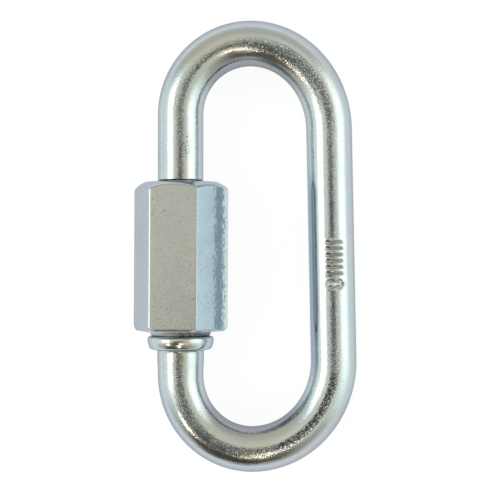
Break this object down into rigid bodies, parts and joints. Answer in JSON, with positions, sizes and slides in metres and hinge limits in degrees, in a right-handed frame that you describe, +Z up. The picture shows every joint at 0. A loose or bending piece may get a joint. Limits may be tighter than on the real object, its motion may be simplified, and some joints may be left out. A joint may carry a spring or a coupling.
{
  "type": "chain quick link",
  "caption": "Oblong link of bent round steel rod with a gate in one leg, closed by a long hexagonal sleeve nut that screws down onto a collar.",
  "frame": {"origin": "middle of the bounding box's base, on the surface that the link lies on", "axes": "+Y along the link towards the bow that the nut opens to, +X from the nut's leg to the plain leg, +Z up from the surface"},
  "size_m": [0.039, 0.079, 0.0147],
  "materials": {
    "link_zinc": "bright zinc plating on drawn rod, faint blue and yellow tints, scuffed in the bows",
    "nut_zinc": "bright zinc plating on hexagon bar, satin flats with fine scuffs"
  },
  "bodies": {
    "link": {"link_body": "link_zinc"},
    "nut": {"sleeve_nut": "nut_zinc"}
  },
  "joints": [
    {"name": "nut_travel", "type": "slide", "parent": "link", "child": "nut", "axis": [0, 1, 0], "range_m": [0, 0.01125]}
  ]
}
